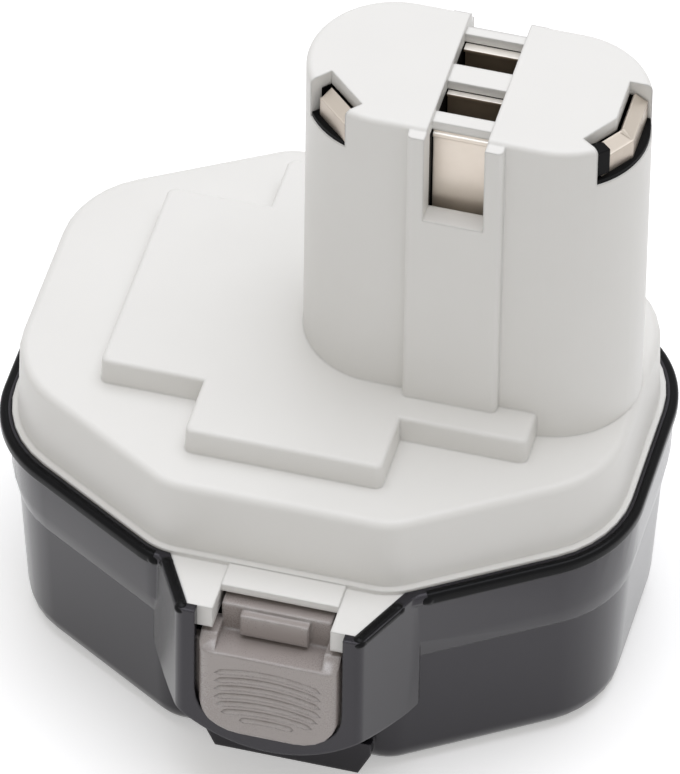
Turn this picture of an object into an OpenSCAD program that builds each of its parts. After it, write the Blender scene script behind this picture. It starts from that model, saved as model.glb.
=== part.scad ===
// Stem-type battery pack for a hand-held power tool: a light two-part case over a dark tub,
// twelve cells, contacts in the stem head and two sprung release buttons.
// The pack stands on z = 0. The middle of the base is over the origin, the stem leans to +X
// and the shown button faces -Y.

/* [Cells] */
// Diameter of one sleeved cell
cell_d = 22.9; // [22:0.1:24]
// Height of one cell over its terminals
cell_h = 43; // [40:0.5:48]
// Gap between neighbouring cells
cell_gap = 0.2; // [0.1:0.05:0.5]
// Diameter of the raised terminal cap
cap_d = 8; // [6:0.5:10]
// Height of the raised terminal cap
cap_h = 1; // [0.6:0.1:1.4]
// Thickness of the nickel links and straps
link_t = 0.3; // [0.2:0.05:0.5]
// Width of the nickel links
link_w = 7; // [5:0.5:9]
// Thickness of the insulating cards
card_t = 0.5; // [0.4:0.1:1]

/* [Base] */
// Room from the outermost cells to the outside of the end walls
end_room = 5.2; // [4.8:0.1:7]
// Room from the outermost cells to the outside of the long walls
side_room = 4.35; // [4:0.05:6]
// Length of the straight stretch of each long wall
flat_l = 36.4; // [34:0.2:40]
// Slope of the left slanted walls against the long walls
slant_left = 31; // [29:0.5:33]
// Slope of the right slanted walls against the long walls
slant_right = 33.5; // [31:0.5:34]
// Radius of the four end corners in plan
end_r = 17; // [12:0.5:18]
// Radius between straight and slanted walls in plan
bend_r = 9; // [6:0.5:14]
// Thickness of the case walls
wall = 2; // [1.6:0.1:2.4]
// Thickness of the floor
floor_t = 2.2; // [1.8:0.1:3]
// Rounding of the bottom edge
bottom_r = 4.4; // [3:0.2:6]
// How far the foot of the tub wall stands inside the deck outline
foot_in = 1.2; // [0.8:0.1:1.4]
// How far the tub wall stands outside the deck outline under its step
waist_out = 0.3; // [0:0.1:0.8]
// How far the upper band of the tub stands outside the deck outline
band_out = 1.9; // [1.8:0.05:2.3]
// Height of the step in the tub wall
step_z = 25.8; // [22:0.2:30]
// Height over which the step leans out
step_h = 4.4; // [2:0.2:6]
// Shift of the tub's walls to the right under the rim
tub_x = 0.5; // [0:0.1:0.6]
// How much longer the lower tub is at each end
tub_more = 0.5; // [0:0.1:0.8]
// Height of the seam between tub and upper case
seam_z = 41.2; // [40:0.1:43]
// How far the dark rim stands outside the deck outline
rim_out = 3; // [2.8:0.1:3.6]
// Height of the dark rim
rim_h = 2.3; // [1.6:0.1:3]
// How far the rim's edges are rounded back
rim_soft = 0.7; // [0.4:0.1:1]
// How much the rim and lip fall short of an even width at each end
rim_less = 0.2; // [0:0.1:0.5]
// How far the light lip stands outside the deck outline
lip_out = 1.1; // [0.9:0.1:1.4]
// How deep the light lip sits in the tub
lip_h = 1.1; // [0.8:0.1:1.4]
// How far the light lip stands above the rim
lip_proud = 0.4; // [0.2:0.1:0.8]
// Depth of the tongue that the upper case drops into the tub
tongue_h = 4; // [3:0.2:6]
// Clearance all round the tongue and lip
seam_clear = 0.1; // [0.05:0.05:0.2]

/* [Deck] */
// Head room between the cells and the underside of the deck
head_room = 6.3; // [5:0.1:9]
// Draft of the light wall, measured at the deck
deck_draft = 0.3; // [0.1:0.1:0.6]
// Rounding of the deck edge
deck_r = 1.4; // [0.8:0.1:1.8]
// Height of the raised guide on the deck
guide_h = 4.7; // [3:0.1:6]
// Rounding of the guide's top edge
guide_r = 0.7; // [0.3:0.1:1]
// Lean of the guide's sides, measured at its top
guide_lean = 0.1; // [0.05:0.05:0.3]
// Corner radius of the guide in plan
guide_corner = 1.2; // [0.8:0.1:2]
// Left end of the guide
guide_x0 = -33.2; // [-36:0.2:-26]
// Right end of the guide
guide_x1 = 34.5; // [30:0.2:37]
// Width of the guide
guide_w = 40.2; // [34:0.2:44]
// Left side of the guide's wide block
block_x0 = -16.8; // [-22:0.2:-12]
// Right side of the guide's wide block
block_x1 = 14.6; // [10:0.2:18]
// Width over the guide's wide block
block_w = 62.6; // [52:0.2:66]

/* [Stem] */
// Middle of the stem, from the middle of the base
stem_x = 20.9; // [18:0.1:21]
// Room from the stem cells to the outside of the stem ends
stem_end_room = 3.6; // [2.8:0.1:3.8]
// Thickness of the stem wall
stem_wall = 1.9; // [1.6:0.1:2.2]
// Clearance between cells and stem wall
stem_clear = 0.25; // [0.2:0.05:0.5]
// Height of the contact head above the stem cells
head_h = 24.8; // [23:0.2:28]
// Thickness of the stem top
top_t = 2.6; // [2.2:0.1:3.2]
// Rounding of the stem's top edge
stem_r = 1; // [0.6:0.1:1.6]
// Width of the raised rib down the front and rear of the stem
rib_w = 14.9; // [12.5:0.1:18]
// How far the rib stands out of the stem
rib_out = 1.7; // [1:0.1:2.2]
// Width of the contact channel across the stem top
channel_w = 9.4; // [8:0.1:11]
// Depth of the channel across the stem top
channel_t = 1; // [0.6:0.1:1.4]
// Length of each blade window in the channel
window_l = 6.8; // [6:0.1:7.2]
// Middle of the rear window, from the middle of the stem
window_rear = 6.1; // [5.8:0.1:6.4]
// Middle of the middle window, from the middle of the stem
window_mid = -4.6; // [-5:0.1:-4.2]
// Depth of the blade pockets below the stem top
pocket_t = 17; // [14:0.5:18]
// Height of the front contact slot
slot_h = 17.3; // [14:0.1:18]
// Distance of the front contact from the middle of the stem
slot_y = 10.4; // [10.2:0.1:10.8]
// Depth of the corner pockets below the stem top
corner_t = 6.6; // [6:0.1:8]
// Thickness of the carrier's ledge in the corner pockets
ledge_t = 0.8; // [0.6:0.1:1.6]
// Gap between the corner contacts and one end of their pockets
corner_gap = 1.3; // [0.8:0.1:1.8]
// Depth of the corner pockets from the outside of the stem
corner_in = 4.1; // [3.8:0.1:4.4]
// Direction of the left pocket, from the stem's long axis
left_angle = 47; // [42:1:52]
// Length of the left pocket
left_l = 8.5; // [7.5:0.1:9]
// Direction of the right pocket's front edge, from the stem's long axis
right_angle = 34; // [30:1:38]
// Length of the right pocket's front edge
right_l = 6.8; // [6:0.1:7.4]
// Length of the right pocket's side edge
right_side = 8.3; // [7:0.1:8.6]
// Slide of both corner pockets towards the front of the stem
corner_slide = 1.1; // [0.8:0.1:1.4]
// Setback of the corner contacts from the outside of the stem
plate_out = 1.2; // [1.1:0.05:1.6]
// Thickness of the contact plates
plate_t = 0.5; // [0.3:0.05:0.7]
// Clearance round the contacts and the contact carrier
fit_clear = 0.2; // [0.1:0.05:0.3]

/* [Latch] */
// Middle of the latch, from the middle of the base
latch_x = 2.2; // [0:0.1:4]
// How far the latch housing stands out of the deck outline
house_out = 12.4; // [12:0.1:14]
// Width of the housing front
house_w = 29; // [28:0.2:32]
// How fast the housing's left side widens towards the case
facet_left = 0.55; // [0.4:0.01:0.6]
// How fast the housing's right side widens towards the case
facet_right = 0.46; // [0.4:0.01:0.6]
// Height of the lowest point of the housing front
house_z = 13.4; // [12:0.2:15]
// Lean of the housing underside
house_tilt = 38; // [34:1:42]
// Radius of the housing's bowl-shaped underside
house_r = 25; // [22:1:32]
// Thickness of the frame round the button
frame_t = 1.55; // [1.3:0.05:1.8]
// Width of the foot below the housing
plinth_w = 23; // [18:0.5:26]
// Spread of the foot at its top
plinth_flare = 2; // [1:0.2:3]
// How far the foot stands out of the deck outline
plinth_out = 0.7; // [0.3:0.1:1.2]
// Width of the button
button_w = 22.6; // [21:0.1:24]
// How far the button stands out of the housing
button_out = 0.8; // [0.4:0.1:1.2]
// Height of the button's lower edge
button_z0 = 17.1; // [16.4:0.1:19]
// Height of the button's shelf
button_z1 = 34.4; // [33:0.1:35]
// Rounding of the button's lower corners
button_r = 7; // [4:0.5:9]
// Thickness of the button behind its face
button_t = 7.1; // [6.5:0.1:7.4]
// How far the retaining flange stands out sideways
flange_out = 1.2; // [0.8:0.1:1.4]
// Thickness of the retaining flange
flange_t = 1.8; // [1.2:0.1:2.2]
// Rounding of the button's upright front edges
button_edge = 2.2; // [1:0.1:2.6]
// Small rounding and setback on the button
button_soft = 0.5; // [0.3:0.1:0.8]
// Lean of the shoulders beside the shelf
shoulder_lean = 2; // [1:0.1:2.4]
// Width of the hook block above the shelf
hook_w = 17.3; // [15:0.1:17.6]
// Height of the hook block above the shelf
hook_h = 5.3; // [4.8:0.1:5.4]
// Depth of the shelf in front of the hook block
shelf_t = 5.7; // [5.2:0.1:5.9]
// Width of the catch on the hook block
catch_w = 10.8; // [8:0.2:14]
// Height of the catch
catch_h = 4; // [3.2:0.1:4.4]
// How far the catch stands out
catch_out = 1.6; // [1:0.1:2.2]
// Number of grip ribs on the button
grip_n = 7; // [4:1:9]
// Pitch of the grip ribs
grip_pitch = 1.75; // [1.4:0.05:1.9]
// Height of the grip ribs
grip_out = 0.35; // [0.2:0.05:0.5]
// Margin between the grip ribs and the button's sides
grip_in = 3; // [2.4:0.2:4]
// Bow radius of the grip ribs
grip_bow = 26; // [20:1:40]
// Width of the opening between the fangs
fang_gap = 18.6; // [18.2:0.1:19.4]
// Height of the fangs
fang_h = 4.2; // [3.6:0.1:4.4]
// Depth of the lintel over the hook
lintel_t = 5.8; // [4:0.1:6]
// How far the lintel stands above the rim
lintel_proud = 0.2; // [0:0.1:0.4]
// Clearance round the moving button
button_clear = 0.4; // [0.3:0.05:0.5]
// Travel of the button when it is pressed
travel = 2.5; // [1.5:0.1:2.6]
// Width of the output straps and flat leads
strap_w = 4; // [3:0.2:4.6]
// Width of the leaf spring
spring_w = 7; // [5:0.5:9]
// Thickness of the leaf spring
spring_t = 0.5; // [0.3:0.05:0.6]
// Length of the leaf spring
spring_l = 19; // [16:0.5:22]

/* [Hidden] */
$fn = 64;
eps = 0.01;
// How far joined solids run into each other
bite = 1;
// How far cutting solids run past what they cut
over = 5;
// Gap between faces that meet when the button springs back
rest_gap = 0.3;
round_steps = 4;
arc_steps = 6;

cell_r = cell_d / 2;
pitch = cell_d + cell_gap;
col_1 = pitch / 2;
col_2 = col_1 + pitch * cos(30);
half_l = col_2 + cell_r + end_room;
half_w = pitch + cell_r + side_room;

cell_z = floor_t + card_t + link_t;
cell_top = cell_z + cell_h;
card_z = cell_top + link_t;
deck_z = card_z + head_room + wall;
guide_z = deck_z + guide_h;
stem_cell_z = card_z + card_t;
stem_cell_top = stem_cell_z + cell_h;
top_z = stem_cell_top + head_h;

stem_half_w = cell_r + stem_clear + stem_wall;
stem_in_r = cell_r + stem_clear;
stem_half_l = pitch / 2 + cell_r + stem_end_room;
stem_span = stem_half_l - stem_half_w;
channel_z = top_z - channel_t;
slot_z = top_z - slot_h;
pocket_z = top_z - pocket_t;
corner_z = top_z - corner_t;
under_top = top_z - top_t;
carrier_z = stem_cell_top + link_t + card_t;
carrier_top = under_top - fit_clear;

lip_z = seam_z - lip_h;
rim_w = rim_out - lip_out - seam_clear;
band_in = band_out - wall;
fang_drop = 0.3;
fang_top = seam_z - fang_drop;
fang_z = fang_top - fang_h;
seat_out = lip_out - seam_clear;
seat_y = half_w + seat_out;
house_y = half_w + house_out;
frame_y = house_y - frame_t;
button_y = house_y + button_out;
button_back = button_y - button_t;
hook_y = button_y - shelf_t;
hook_back = seat_y + travel + button_clear;
flange_y = frame_y - rest_gap;

hollow_soft = 1.2;
back_room = 0.6;
plate_w = channel_w - 2 * fit_clear;
plate_front = -slot_y + seam_clear;
lead_w = strap_w - 2 * fit_clear;
riser_d = link_w - 2;
switch_l = 11;
switch_w = 6;
switch_h = 3.6;
switch_x = -20;
run_y = cell_r + strap_w / 2 + 1;
sensor_tap = [-col_2, -run_y / 2];

// Cell places: ten in the base, two in the stem, each with the way its cap points
base_cells = [
    [-col_2, -col_1, -1], [-col_2, col_1, 1],
    [-col_1, -pitch, 1], [-col_1, 0, -1], [-col_1, pitch, 1],
    [col_1, -pitch, -1], [col_1, 0, 1], [col_1, pitch, -1],
    [col_2, -col_1, -1], [col_2, col_1, 1]
];
stem_cells = [[stem_x - pitch / 2, 0, 1], [stem_x + pitch / 2, 0, -1]];
bottom_pairs = [[6, 5], [2, 0], [1, 3], [4, 7], [9, 8]];
top_pairs = [[5, 2], [0, 1], [3, 4], [7, 9]];

cell_names = [for (i = [1:12]) str("cell_", i < 10 ? "0" : "", i)];
bottom_names = [for (i = [1:len(bottom_pairs)]) str("bottom_link_", i)];
top_names = [for (i = [1:len(top_pairs)]) str("top_link_", i)];

// Outline helpers

function unit(v) = v / norm(v);

function flat(p) = [p.x, p.y];

// Points of the arc that rounds corner v between its neighbours p and q
function corner_arc(p, v, q, r, steps) =
    let (
        a = unit(p - v),
        b = unit(q - v),
        half = acos(a * b) / 2,
        c = v + unit(a + b) * r / sin(half),
        s = v + a * r / tan(half) - c,
        e = v + b * r / tan(half) - c,
        start = atan2(s.y, s.x),
        sweep = (atan2(e.y, e.x) - start + 540) % 360 - 180
    )
    [for (i = [0:steps]) c + r * [cos(start + sweep * i / steps), sin(start + sweep * i / steps)]];

// Closed outline with each corner rounded by its own radius
function rounded(pts, radii) =
    let (n = len(pts))
    [for (i = [0:n - 1])
        each corner_arc(pts[(i + n - 1) % n], pts[i], pts[(i + 1) % n], radii[i], arc_steps)];

// Eight-sided plan of the base, grown outwards by o and made longer at each end by more
function base_plan(o, more = 0) =
    let (
        e = half_l + o + more,
        f = half_w + o,
        sl = flat_l / 2 + o * tan(slant_left / 2),
        sr = flat_l / 2 + o * tan(slant_right / 2),
        dl = f - (e - sl) * tan(slant_left),
        dr = f - (e - sr) * tan(slant_right),
        re = end_r + o,
        rb = bend_r + o
    )
    rounded(
        [[e, -dr], [e, dr], [sr, f], [-sl, f], [-e, dl], [-e, -dl], [-sl, -f], [sr, -f]],
        [re, re, rb, rb, re, re, rb, rb]
    );

function box_plan(x0, x1, half, r) =
    rounded([[x0, -half], [x1, -half], [x1, half], [x0, half]], [r, r, r, r]);

// Sides of the latch housing and of the space inside its rim, at a distance from the middle;
// side is -1 on the left and 1 on the right
function facet(side) = side < 0 ? facet_left : facet_right;
function house_side(y, side) = side * (house_w / 2 + (house_y - y) * facet(side));
function fang_side(y, side) = house_side(y, side) - side * rim_w * norm([1, facet(side)]);

module slab(z, pts) {
    translate([0, 0, z]) linear_extrude(eps) polygon(pts);
}

module prism(z0, z1, pts) {
    translate([0, 0, z0]) linear_extrude(z1 - z0) polygon(pts);
}

// Box given by its middle in X and its two corners in Y and Z
module block(x, w, y0, y1, z0, z1) {
    translate([x - w / 2, y0, z0]) cube([w, y1 - y0, z1 - z0]);
}

module capsule(p, q, w) {
    run = q - p;
    translate(p) circle(d = w);
    translate(q) circle(d = w);
    translate(p) rotate(atan2(run.y, run.x)) translate([0, -w / 2]) square([norm(run), w]);
}

// Straight strip from p to q, with square ends half a width beyond them
module bar(p, q, w) {
    run = q - p;
    translate(p) rotate(atan2(run.y, run.x)) translate([-w / 2, -w / 2]) square([norm(run) + w, w]);
}

// Two latch sides: the front one as drawn, the rear one mirrored
module front_latch() {
    translate([latch_x, 0, 0]) children();
}

module rear_latch() {
    mirror([0, 1, 0]) translate([latch_x, 0, 0]) children();
}

module both_latches() {
    front_latch() children();
    rear_latch() children();
}

// Outline of the button's face up to height z1, grown all round
module button_face(grow, z1) {
    half = button_w / 2 + grow;
    polygon(rounded(
        [[-half, button_z0 - grow], [half, button_z0 - grow], [half, z1], [-half, z1]],
        [button_r + grow, button_r + grow, button_soft, button_soft]
    ));
}

// Front outline carried from distance y0 to y1 in front of the middle plane
module upright(y0, y1) {
    translate([0, -y0, 0]) rotate([90, 0, 0]) linear_extrude(y1 - y0) children();
}

// Dark tub

module tub_body() {
    band_lean = 0.4;
    hull() {
        for (i = [0:round_steps]) {
            t = 90 * i / round_steps;
            slab(bottom_r * (1 - cos(t)), base_plan(-foot_in - bottom_r * (1 - sin(t)), tub_more));
        }
        slab(step_z + step_h, base_plan(waist_out, tub_more));
    }
    hull() {
        slab(step_z, base_plan(waist_out, tub_more));
        slab(step_z + step_h, base_plan(band_out - band_lean));
        slab(seam_z - rim_h / 2, base_plan(band_out));
    }
}

module tub_rim() {
    half = rim_h / 2 - eps;
    hull()
        for (i = [-round_steps / 2:round_steps / 2]) {
            t = 180 * i / round_steps;
            slab(seam_z - eps + half * (sin(t) - 1), base_plan(rim_out - rim_soft * (1 - cos(t)), -rim_less));
        }
}

// Boss round the button: trapezoid in plan, with a leaning, round-cornered underside
module housing() {
    inner_y = half_w - bite;
    reach = 3 * house_out;
    intersection() {
        prism(0, seam_z, [
            [house_side(inner_y, -1), -inner_y], [house_side(house_y, -1), -house_y],
            [house_side(house_y, 1), -house_y], [house_side(inner_y, 1), -inner_y]
        ]);
        translate([0, -house_y, house_z])
            rotate([-house_tilt, 0, 0])
                rotate([90, 0, 0])
                    linear_extrude(2 * reach, center = true) {
                        translate([0, house_r]) circle(house_r, $fn = 128);
                        translate([-house_r, house_r]) square([2 * house_r, 2 * reach]);
                    }
    }
}

module plinth() {
    low = plinth_w / 2;
    high = low + plinth_flare;
    depth = half_w + plinth_out;
    translate([0, -half_w / 2, 0])
        rotate([90, 0, 0])
            linear_extrude(depth - half_w / 2)
                polygon([[-low, 0], [low, 0], [high, bottom_r], [high, house_z / 2],
                    [-high, house_z / 2], [-high, bottom_r]]);
}

// Room inside the housing for the button, its flange and its spring
module button_room() {
    upright(seat_y, frame_y) button_face(flange_out + button_clear, fang_z + bite);
    upright(frame_y - eps, house_y + over) button_face(button_clear, seam_z + over);
}

// Room under the rim for the fangs and lintel of the upper case
module fang_room() {
    for (level = [[fang_z, seat_y], [lip_z, half_w - bite]])
        prism(level[0], seam_z + over, [
            [fang_side(level[1], -1), -level[1]], [fang_side(frame_y, -1), -frame_y],
            [fang_side(frame_y, 1), -frame_y], [fang_side(level[1], 1), -level[1]]
        ]);
}

module tub_hollow() {
    low_in = -foot_in - wall;
    mid_z = step_z + step_h;
    translate([tub_x, 0, 0])
        hull() {
            slab(floor_t, base_plan(low_in - hollow_soft, tub_more));
            slab(floor_t + hollow_soft, base_plan(low_in, tub_more));
            slab(mid_z, base_plan(waist_out - wall, tub_more));
        }
    prism(mid_z - bite, seam_z + over, base_plan(band_in - seam_clear - bite));
    prism(seam_z - lip_h - tongue_h, seam_z + over, base_plan(band_in));
    prism(lip_z, seam_z + over, base_plan(lip_out + seam_clear, -rim_less));
}

module lower_case() {
    color([0.27, 0.26, 0.28])
        difference() {
            union() {
                translate([tub_x, 0, 0]) tub_body();
                tub_rim();
                both_latches() housing();
                both_latches() plinth();
            }
            tub_hollow();
            both_latches() button_room();
            both_latches() fang_room();
        }
}

// Light upper case

module deck_body() {
    hull() {
        slab(lip_z, base_plan(0));
        for (i = [0:round_steps]) {
            t = 90 * i / round_steps;
            slab(deck_z - deck_r * (1 - sin(t)) - eps, base_plan(-deck_draft - deck_r * (1 - cos(t))));
        }
    }
}

module guide_block(x0, x1, half) {
    hull() {
        slab(deck_z - bite, box_plan(x0, x1, half, guide_corner));
        for (i = [0:round_steps]) {
            t = 90 * i / round_steps;
            in = guide_lean + guide_r * (1 - cos(t));
            z = guide_z - guide_r * (1 - sin(t)) - eps;
            slab(z, box_plan(x0 + in, x1 - in, half - in, guide_corner));
        }
    }
}

// Half profile of the stem from its middle plane to its rounded top edge
module stem_profile(z0) {
    translate([0, z0]) square([stem_half_w, top_z - stem_r - z0]);
    translate([0, top_z - stem_r - eps]) square([stem_half_w - stem_r, stem_r + eps]);
    translate([stem_half_w - stem_r, top_z - stem_r]) circle(stem_r);
}

module stem_body(z0) {
    translate([stem_x - stem_span, 0, 0])
        rotate([0, 0, 90])
            rotate_extrude(angle = 180) stem_profile(z0);
    translate([stem_x + stem_span, 0, 0])
        rotate([0, 0, -90])
            rotate_extrude(angle = 180) stem_profile(z0);
    translate([stem_x - stem_span, 0, 0])
        rotate([90, 0, 90])
            linear_extrude(2 * stem_span) {
                stem_profile(z0);
                mirror([1, 0]) stem_profile(z0);
            }
}

// Round-ended plan of the stem for a given end radius
module stem_plan(r) {
    translate([stem_x - stem_span, 0]) circle(r);
    translate([stem_x + stem_span, 0]) circle(r);
    translate([stem_x - stem_span, -r]) square([2 * stem_span, 2 * r]);
}

module stem_rib() {
    reach = stem_half_w + rib_out;
    soft = 0.8;
    prism(deck_z - bite, top_z - stem_r / 2, [
        for (p = rounded([[-rib_w / 2, -reach], [rib_w / 2, -reach], [rib_w / 2, reach], [-rib_w / 2, reach]],
            [soft, soft, soft, soft])) p + [stem_x, 0]
    ]);
}

// Plans of the corner pockets: inner edges set back from the stem ends, open to the outside
function polar(a) = [cos(a), sin(a)];
edge_in = stem_half_w - corner_in;
left_out = polar(180 + left_angle);
left_along = polar(90 + left_angle) * -1;
left_mid = [stem_x - stem_span, 0] + left_out * edge_in + left_along * corner_slide;
left_a = left_mid - left_along * left_l / 2;
left_b = left_mid + left_along * left_l / 2;
left_plan = [left_a, left_b, left_b + left_out * corner_t, left_a + left_out * corner_t];
right_out = polar(-right_angle);
right_along = polar(90 - right_angle);
right_mid = [stem_x + stem_span, 0] + right_out * edge_in - right_along * corner_slide;
right_a = right_mid - right_along * right_l / 2;
right_b = right_mid + right_along * right_l / 2;
right_c = right_b + [0, right_side];
right_far = right_a + right_out * corner_t;
right_foot = right_b + [0, right_side / 2];
right_plan = [
    right_a, right_b, right_c, right_c + [corner_t, 0], [right_c.x + corner_t, right_far.y], right_far
];

module channel_cuts() {
    reach = stem_half_w + rib_out + over;
    block(stem_x, channel_w, -reach, reach, channel_z, top_z + over);
    for (y = [window_mid, window_rear])
        block(stem_x, channel_w, y - window_l / 2, y + window_l / 2, under_top - over, top_z + over);
    block(stem_x, channel_w, -reach, -slot_y, slot_z, top_z + over);
    prism(corner_z - ledge_t, top_z + over, left_plan);
    prism(corner_z - ledge_t, top_z + over, right_plan);
}

// Lintel and fangs that frame the hook of the front button
module fangs() {
    back_y = half_w - bite;
    front_y = frame_y - fit_clear;
    seat = seat_y + seam_clear;
    side = fang_gap / 2;
    lintel_y = half_w + lintel_t;
    block(0, fang_gap, -lintel_y, -back_y, lip_z, seam_z + lintel_proud);
    for (m = [-1, 1]) {
        front_x = fang_side(front_y, m) - m * seam_clear;
        prism(lip_z, fang_top, [
            [m * (side - bite), -back_y], [m * (side - bite), -lintel_y], [m * side, -lintel_y],
            [m * side, -front_y], [front_x, -front_y], [fang_side(back_y, m) - m * seam_clear, -back_y]
        ]);
        prism(fang_z + seam_clear, fang_top, [
            [m * side, -seat], [m * side, -front_y], [front_x, -front_y],
            [fang_side(seat, m) - m * seam_clear, -seat]
        ]);
    }
}

module upper_case() {
    tongue_o = band_in - seam_clear;
    color([0.91, 0.905, 0.895])
        difference() {
            union() {
                deck_body();
                prism(lip_z, seam_z + lip_proud, base_plan(lip_out, -rim_less));
                prism(lip_z - tongue_h + fit_clear, lip_z + eps, base_plan(tongue_o));
                guide_block(guide_x0, guide_x1, guide_w / 2);
                guide_block(block_x0, block_x1, block_w / 2);
                stem_body(deck_z - bite);
                stem_rib();
                both_latches() fangs();
            }
            prism(lip_z - tongue_h, deck_z - wall, base_plan(tongue_o - wall));
            translate([0, 0, deck_z - wall - eps])
                linear_extrude(under_top - deck_z + wall + eps) stem_plan(stem_in_r);
            channel_cuts();
        }
}

// Release button, drawn for the front

module grip_ribs() {
    mid_z = (button_z0 + button_z1) / 2;
    rib_t = grip_pitch * 0.45;
    for (i = [0:grip_n - 1]) {
        z = mid_z + (i - (grip_n - 1) / 2) * grip_pitch;
        upright(button_y - bite, button_y + grip_out)
            intersection() {
                translate([0, z - grip_bow])
                    difference() {
                        circle(grip_bow + rib_t / 2, $fn = 128);
                        circle(grip_bow - rib_t / 2, $fn = 128);
                    }
                button_face(-grip_in, button_z1);
            }
    }
}

module button() {
    shoulder_z = fang_z - button_clear;
    half = button_w / 2;
    shoulder_w = half - hook_w / 2;
    front = button_soft - button_y;
    hook_z = button_z1 + hook_h;
    catch_z = hook_z - button_soft;
    intersection() {
        union() {
            upright(button_back, button_y) button_face(0, button_z1);
            for (m = [0, 1])
                mirror([m, 0, 0])
                    translate([hook_w / 2 - fit_clear, 0, 0])
                        rotate([90, 0, 90])
                            linear_extrude(shoulder_w)
                                polygon([
                                    [bite - hook_y, button_z1 - bite], [front, button_z1 - bite],
                                    [front, button_z1], [front + shoulder_lean, shoulder_z],
                                    [bite - hook_y, shoulder_z]
                                ]);
        }
        prism(0, seam_z, rounded(
            [[-half, -button_back], [-half, -button_y], [half, -button_y], [half, -button_back]],
            [button_soft, button_edge, button_edge, button_soft]
        ));
    }
    upright(flange_y - flange_t, flange_y) button_face(flange_out, button_z1);
    grip_ribs();
    block(0, hook_w, -hook_y, -hook_back, button_z1 - hook_h, hook_z);
    block(0, catch_w, -hook_y - catch_out, -hook_y + bite, catch_z - catch_h, catch_z);
}

module latch_button_front() {
    color([0.6, 0.56, 0.55]) front_latch() button();
}

module latch_button_rear() {
    color([0.6, 0.56, 0.55]) rear_latch() button();
}

// Leaf spring between the housing seat and the back of the button, drawn for the front
module leaf_spring() {
    foot = spring_l / 8;
    crown = spring_l / 8;
    half = spring_l / 2;
    crown_y = button_back - rest_gap;
    mid_z = (button_z0 + button_z1 - hook_h) / 2;
    face = [
        [half, seat_y + spring_t], [half - foot, seat_y + spring_t], [crown, crown_y],
        [-crown, crown_y], [foot - half, seat_y + spring_t], [-half, seat_y + spring_t]
    ];
    back = [for (i = [len(face) - 1:-1:0]) face[i] - [0, spring_t]];
    prism(mid_z - spring_w / 2, mid_z + spring_w / 2, [for (p = concat(face, back)) [p.x, -p.y]]);
}

module latch_spring_front() {
    color([0.75, 0.76, 0.78]) front_latch() leaf_spring();
}

module latch_spring_rear() {
    color([0.75, 0.76, 0.78]) rear_latch() leaf_spring();
}

// Contacts in the stem head

// Inner edges of the corner pockets, moved out by o and cut short where the contact ends
function left_edge(o) = [
    left_a + left_along * corner_gap + left_out * o,
    left_b - left_along * fit_clear + left_out * o
];

function right_edge(o) = [
    right_a + right_along * corner_gap + right_out * o,
    right_b + (right_out + [1, 0]) / (1 + right_out.x) * o,
    right_c + [o, -fit_clear]
];

// Upright band between two open lines of points
module band(z0, z1, inner, outer) {
    prism(z0, z1, concat(outer, [for (i = [len(inner) - 1:-1:0]) inner[i]]));
}

// Foot on the carrier's ledge and upright wall of a corner contact
module corner_wall(root, inner, outer) {
    band(corner_z, corner_z + plate_t, root, outer);
    band(corner_z, crest_z, inner, outer);
}

// Section of the crest that leans in from the wall to the stem top: x is the distance from the pocket edge
module crest_section() {
    low = [wall_out - plate_t / 2, crest_z - plate_t / 2];
    high = [1.5 * plate_t, under_top + plate_t];
    run = unit(high - low);
    side = [run.y, -run.x] * plate_t / 2;
    polygon([low + side, high + side, high - side, low - side]);
}

// Crest swept from l0 to l1 along the edge through p at angle a, with the outside on its right
module crest(p, a, l0, l1) {
    translate([p.x, p.y, 0])
        rotate([0, 0, a])
            translate([l1, 0, 0])
                rotate([90, 0, -90])
                    linear_extrude(l1 - l0) crest_section();
}

wall_out = corner_in - plate_out;
crest_z = under_top - plate_t;
knee_run = wall_out * tan(right_angle / 2);
crest_start = corner_gap + seam_clear;
crest_end = fit_clear + seam_clear;

module corner_contact_left() {
    color([0.84, 0.79, 0.73]) {
        corner_wall(left_edge(-back_room / 2), left_edge(wall_out - plate_t), left_edge(wall_out));
        crest(left_a, left_angle - 90, crest_start, left_l - crest_end);
    }
}

module corner_contact_right() {
    color([0.84, 0.79, 0.73]) {
        corner_wall(right_edge(-back_room / 2), right_edge(wall_out - plate_t), right_edge(wall_out));
        crest(right_a, 90 - right_angle, crest_start, right_l + knee_run);
        crest(right_b, 90, -knee_run, right_side - crest_end);
    }
}

module front_contact() {
    bead_z = under_top - 2 * plate_t;
    color([0.84, 0.79, 0.73]) {
        block(stem_x, plate_w, plate_front, plate_front + plate_t, carrier_z, under_top - fit_clear);
        translate([stem_x - plate_w / 2, plate_front, bead_z])
            rotate([0, 90, 0])
                cylinder(r = plate_t, h = plate_w);
    }
}

module blade_contact(y, hem) {
    back_y = y + window_l / 2;
    top = under_top - fit_clear;
    block(stem_x, plate_w, back_y - plate_t, back_y, carrier_z, top);
    block(stem_x, plate_w, back_y - plate_t - hem, back_y, top - plate_t, top);
}

module middle_contact() {
    color([0.62, 0.47, 0.34]) blade_contact(window_mid, plate_t);
}

module rear_contact() {
    color([0.62, 0.47, 0.34]) blade_contact(window_rear, 2 * plate_t);
}

// Uprights of the output straps, grown by g all round
module left_upright(g) {
    translate([left_mid.x, left_mid.y, stem_cell_top - g])
        rotate([0, 0, left_angle - 90])
            translate([-strap_w / 2 - g, -link_t / 2 - g, 0])
                cube([strap_w + 2 * g, link_t + 2 * g, corner_z - stem_cell_top + 2 * g]);
}

module right_upright(g) {
    translate([right_foot.x - link_t / 2 - g, right_foot.y - strap_w / 2 - g, stem_cell_top - g])
        cube([link_t + 2 * g, strap_w + 2 * g, corner_z - stem_cell_top + 2 * g]);
}

module strip(z, p, q, w) {
    translate([0, 0, z]) linear_extrude(link_t) capsule(p, q, w);
}

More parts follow.
